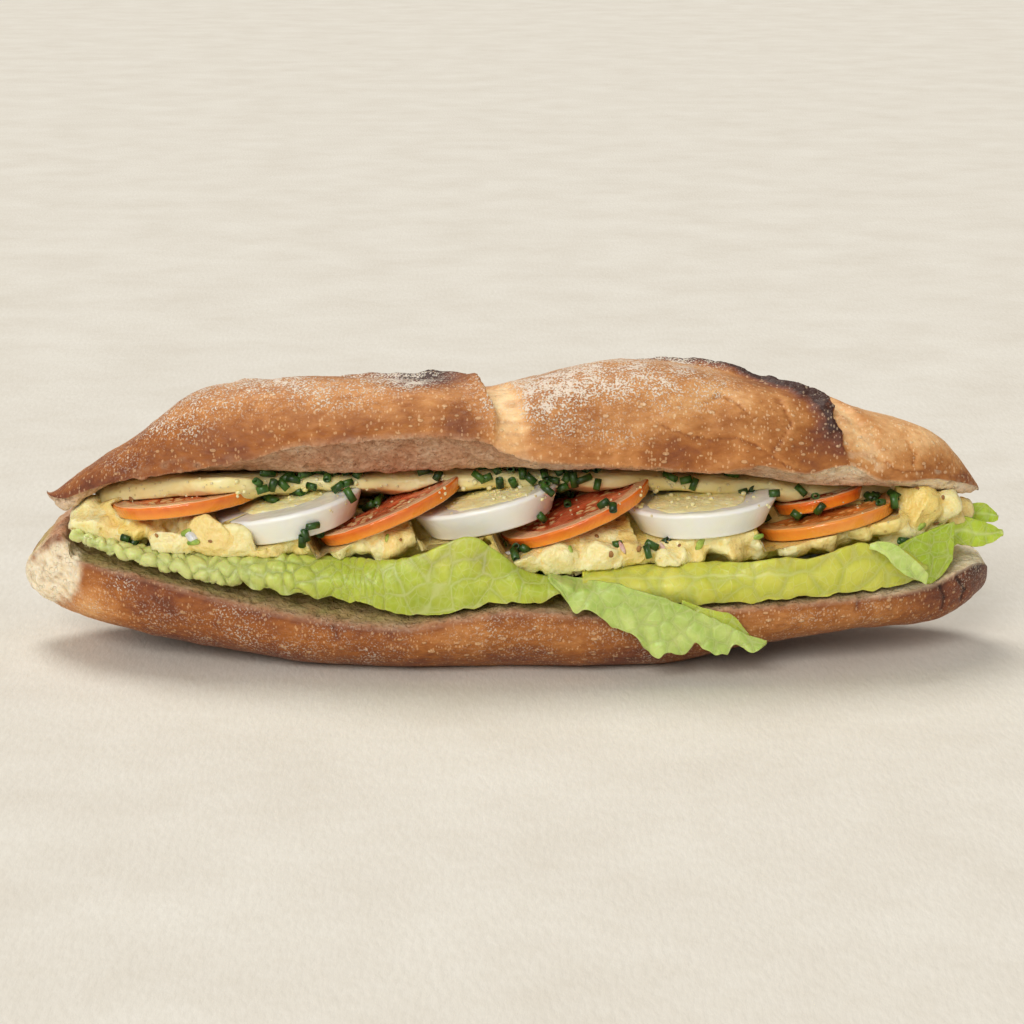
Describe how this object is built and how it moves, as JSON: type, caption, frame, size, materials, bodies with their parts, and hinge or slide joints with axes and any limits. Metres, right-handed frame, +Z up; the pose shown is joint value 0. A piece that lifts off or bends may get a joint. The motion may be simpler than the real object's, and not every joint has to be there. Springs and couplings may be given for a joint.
{
  "type": "banh mi baguette sandwich",
  "caption": "Split crusty baguette filled with lettuce, a lumpy chicken and egg salad, slices of tomato and boiled egg, mayonnaise and chopped chives.",
  "frame": {"origin": "centre of the footprint, on the surface the sandwich lies on", "axes": "+X along the loaf, -Y out of the open long side, +Z up"},
  "size_m": [0.2892, 0.0813, 0.0867],
  "materials": {
    "crust": "matt baked crust with flour dust and blisters",
    "lettuce": "fresh leaf, slightly waxy",
    "salad": "moist coated chunks",
    "mayonnaise": "smooth and moist",
    "egg": "smooth boiled white with a crumbly yolk",
    "tomato": "wet flesh with a shiny skin"
  },
  "bodies": {
    "root": {"bread_bottom": "crust", "bread_top": "crust", "lettuce_left": "lettuce", "lettuce_right": "lettuce", "lettuce_hanging": "lettuce", "lettuce_end": "lettuce", "lettuce_end_back": "lettuce", "salad": "salad", "mayonnaise": "mayonnaise", "egg_slice_left": "egg", "egg_slice_middle": "egg", "egg_slice_right": "egg", "tomato_slice_left": "tomato", "tomato_slice_middle": "tomato", "tomato_slice_right": "tomato", "tomato_slice_end": "tomato", "tomato_slice_back": "tomato"}
  },
  "joints": []
}
